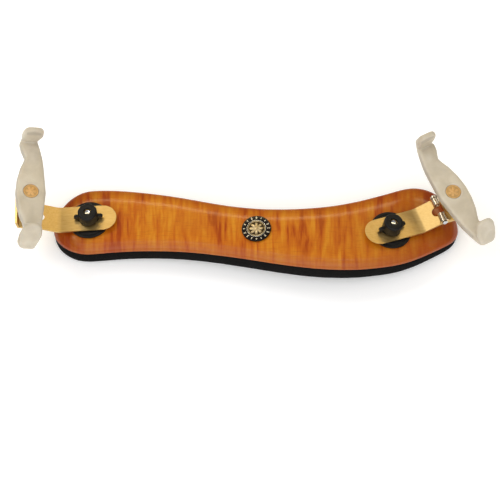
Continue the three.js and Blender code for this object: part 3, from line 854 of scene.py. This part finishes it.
def fork_grip(side, place):
    """The moulded rubber: the CAD shape with soft edges and a bead round the cap. It stores as
    edge how steep the bar's sides are, and a middling value on the hooks, for painted shade."""
    node = side + "_fork_grip"
    mesh = moulded(node, place, 0.42 * MM, 7)
    cap_radius = local_box(side + "_fork_cap", place)[1].x
    bar_top, hooks_start = 6 * MM, 30 * MM
    bead_radius, bead_half, bead_height = cap_radius + 1.0 * MM, 0.8 * MM, 0.16 * MM
    slopes = [vertex.normal.z for vertex in mesh.vertices]
    edge = mesh.attributes.new("edge", "FLOAT", "POINT")
    for vertex, upright in zip(mesh.vertices, slopes):
        x, y, z = vertex.co
        off_bead = math.hypot(x, y) - bead_radius
        on_top = upright > 0.7 and abs(z - bar_top) < bead_half
        if on_top and abs(off_bead) < bead_half:
            vertex.co.z += bead_height * math.cos(off_bead / bead_half * math.pi / 2) ** 2
        # steepness for painted shade on the bar's sides, middling on the hooks
        slope = 1 - abs(upright) if abs(y) < hooks_start else 0.3
        edge.data[vertex.index].value = min(max((slope - 0.25) * 1.2, 0), 1)
    mesh.transform(place)
    mesh.shade_smooth()
    new_piece(side + "_fork_grip_moulded", mesh, side + "_fork", RUBBER, [node])


def fork_cap(side, place):
    rosette_piece(side + "_fork_cap_rosette", side + "_fork_cap", place, 6, 0.2 * MM, 0.25,
                  0.2 * MM, CAP_GOLD, side + "_fork")


# ------------------------------------------------------------------ assembly

wood_bridge()
foam_pad()
badge()
for side in ("left", "right"):
    on_stud, on_hinge, on_fork = arm_frame(side), hinge_frame(side), fork_frame(side)
    stud(side, on_stud)
    base_disc(side, on_stud)
    washer(side, on_stud)
    knob(side, on_stud)
    sheet_metal(side + "_arm_plated", side + "_arm", side + "_arm", on_hinge)
    sheet_metal(side + "_fork_leaf_plated", side + "_fork_leaf", side + "_leaf", on_hinge)
    hinge_pins(side, on_hinge)
    leaf_bush(side, on_fork)
    fork_screw(side, on_fork)
    fork_plate(side, on_fork)
    fork_grip(side, on_fork)
    fork_cap(side, on_fork)


# ------------------------------------------------------------------ floor, light and camera

ELEVATION = math.radians(59)
VIEW_WIDTH = 283 * MM
VIEW_DISTANCE = 4.0
VIEW_SHIFT = (-2.56 * MM, -21.8 * MM)  # from the middle of the part to the middle of the view
VIEW_HEIGHT = 20 * MM  # of the middle of the view above the floor
BRIGHT_SKY = (0, -0.75, 0.66)  # the direction of the brightest sky, above the near side


def area_light(name, direction, distance, size, power, colour=(1, 1, 1)):
    """A rectangular softbox that faces the object from a direction given as azimuth from +X
    and elevation, in degrees. size is (along the horizon, upwards)."""
    azimuth, elevation = (math.radians(angle) for angle in direction)
    spot = Vector((math.cos(elevation) * math.cos(azimuth),
                   math.cos(elevation) * math.sin(azimuth), math.sin(elevation)))
    data = bpy.data.lights.new(name, "AREA")
    data.shape = "RECTANGLE"
    data.size, data.size_y = size
    data.energy = power
    data.color = colour
    light = bpy.data.objects.new(name, data)
    light.location = spot * distance
    light.rotation_euler = spot.to_track_quat("Z", "Y").to_euler()
    bpy.context.scene.collection.objects.link(light)


def floor():
    """A plain pale floor that glows a little, so that it stays near white."""
    bm = bmesh.new()
    bmesh.ops.create_grid(bm, x_segments=1, y_segments=1, size=6)
    mesh = to_mesh(bm, "floor")
    m = Nodes("pale_floor")
    tone = m.noise((0.002, 0.002, 0.002), detail=2)
    m.set(Base_Color=m.ramp(tone, (0.3, srgb("fafaf9")), (0.7, srgb("fcfcfc"))), Roughness=0.8,
          Emission_Color=(1, 1, 1, 1), Emission_Strength=0.2)
    mesh.materials.append(m.material)
    ground = bpy.data.objects.new("floor", mesh)
    ground.location.z = cad_bounds[0].z - 0.05 * MM
    bpy.context.scene.collection.objects.link(ground)


def sky():
    """Soft light that fades from the brightest direction towards the far side."""
    world = bpy.data.worlds.new("studio")
    world.use_nodes = True
    bpy.context.scene.world = world
    tree = world.node_tree
    coordinates = tree.nodes.new("ShaderNodeTexCoord")
    nearness = tree.nodes.new("ShaderNodeVectorMath")
    nearness.operation = "DOT_PRODUCT"
    nearness.inputs[1].default_value = BRIGHT_SKY
    ramp = tree.nodes.new("ShaderNodeValToRGB")
    tree.links.new(coordinates.outputs["Generated"], nearness.inputs[0])
    tree.links.new(nearness.outputs["Value"], ramp.inputs["Fac"])
    tree.links.new(ramp.outputs["Color"], tree.nodes["Background"].inputs["Color"])
    elements = ramp.color_ramp.elements
    stops = [(0.0, 0.15), (0.4, 0.25), (0.7, 0.5), (1.0, 1.2)]
    while len(elements) < len(stops):
        elements.new(0.5)
    for element, (position, grey) in zip(elements, stops):
        element.position = position
        element.color = (grey, grey, grey, 1)
    tree.nodes["Background"].inputs["Strength"].default_value = 1.5


def camera():
    """Looks down from the near side through a long lens, as in the photograph."""
    low, high = cad_bounds
    middle = (low + high) / 2
    target = Vector((middle.x + VIEW_SHIFT[0], middle.y + VIEW_SHIFT[1], VIEW_HEIGHT))
    towards = Vector((0, -math.cos(ELEVATION), math.sin(ELEVATION)))
    data = bpy.data.cameras.new("camera")
    data.lens = data.sensor_width * VIEW_DISTANCE / VIEW_WIDTH
    data.clip_end = 20
    made = bpy.data.objects.new("camera", data)
    made.location = target + towards * VIEW_DISTANCE
    made.rotation_euler = towards.to_track_quat("Z", "Y").to_euler()
    bpy.context.scene.collection.objects.link(made)
    bpy.context.scene.camera = made


floor()
sky()
camera()
area_light("front_softbox", (-115, 62), 1.6, (2.0, 1.6), 4)
area_light("far_strip", (90, 50), 1.5, (2.6, 0.12), 7, (1, 0.84, 0.5))
area_light("far_left_box", (150, 50), 1.5, (0.45, 0.45), 4)
area_light("overhead_strip", (90, 84), 1.6, (1.6, 0.08), 0.8)
bpy.context.scene.view_settings.view_transform = "Standard"
